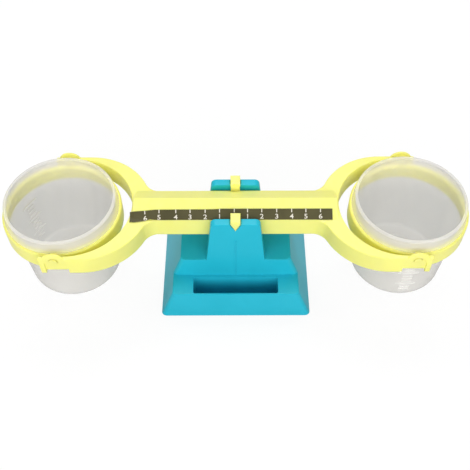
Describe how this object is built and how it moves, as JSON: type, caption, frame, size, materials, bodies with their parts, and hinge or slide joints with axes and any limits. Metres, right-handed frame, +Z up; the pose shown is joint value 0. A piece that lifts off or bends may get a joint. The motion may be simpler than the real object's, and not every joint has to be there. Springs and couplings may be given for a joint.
{
  "type": "bucket balance scale",
  "caption": "Toy bucket balance: stepped base with notched towers, forked tilting beam on knife edges, hinged carrying rings and lift-out translucent measuring buckets.",
  "frame": {"origin": "centre of the bounding box on the floor, under the pivot line", "axes": "+X along the beam to the right-hand bucket, +Y away from the marked side, +Z up"},
  "size_m": [0.4216, 0.1194, 0.11],
  "materials": {
    "turquoise_plastic": "gloss moulded",
    "yellow_plastic": "gloss moulded",
    "milky_plastic": "translucent moulded",
    "dark_print": "printed film"
  },
  "bodies": {
    "base": {"base": "turquoise_plastic"},
    "beam": {"beam": "yellow_plastic", "scale_strip": "dark_print"},
    "left_ring": {"left_ring": "yellow_plastic"},
    "right_ring": {"right_ring": "yellow_plastic"},
    "left_bucket": {"left_bucket": "milky_plastic"},
    "right_bucket": {"right_bucket": "milky_plastic"}
  },
  "joints": [
    {"name": "beam_tilt", "type": "hinge", "parent": "base", "child": "beam", "pos_m": [0, 0, 0.0975], "axis": [0, 1, 0], "range_deg": [-4.3, 4.3]},
    {"name": "left_ring_swing", "type": "hinge", "parent": "beam", "child": "left_ring", "pos_m": [-0.157, 0, 0.0955], "axis": [0, 1, 0], "range_deg": [-15, 15]},
    {"name": "right_ring_swing", "type": "hinge", "parent": "beam", "child": "right_ring", "pos_m": [0.157, 0, 0.0955], "axis": [0, 1, 0], "range_deg": [-15, 15]},
    {"name": "left_bucket_lift", "type": "slide", "parent": "left_ring", "child": "left_bucket", "axis": [0, 0, 1], "range_m": [0, 0.09]},
    {"name": "right_bucket_lift", "type": "slide", "parent": "right_ring", "child": "right_bucket", "axis": [0, 0, 1], "range_m": [0, 0.09]}
  ]
}
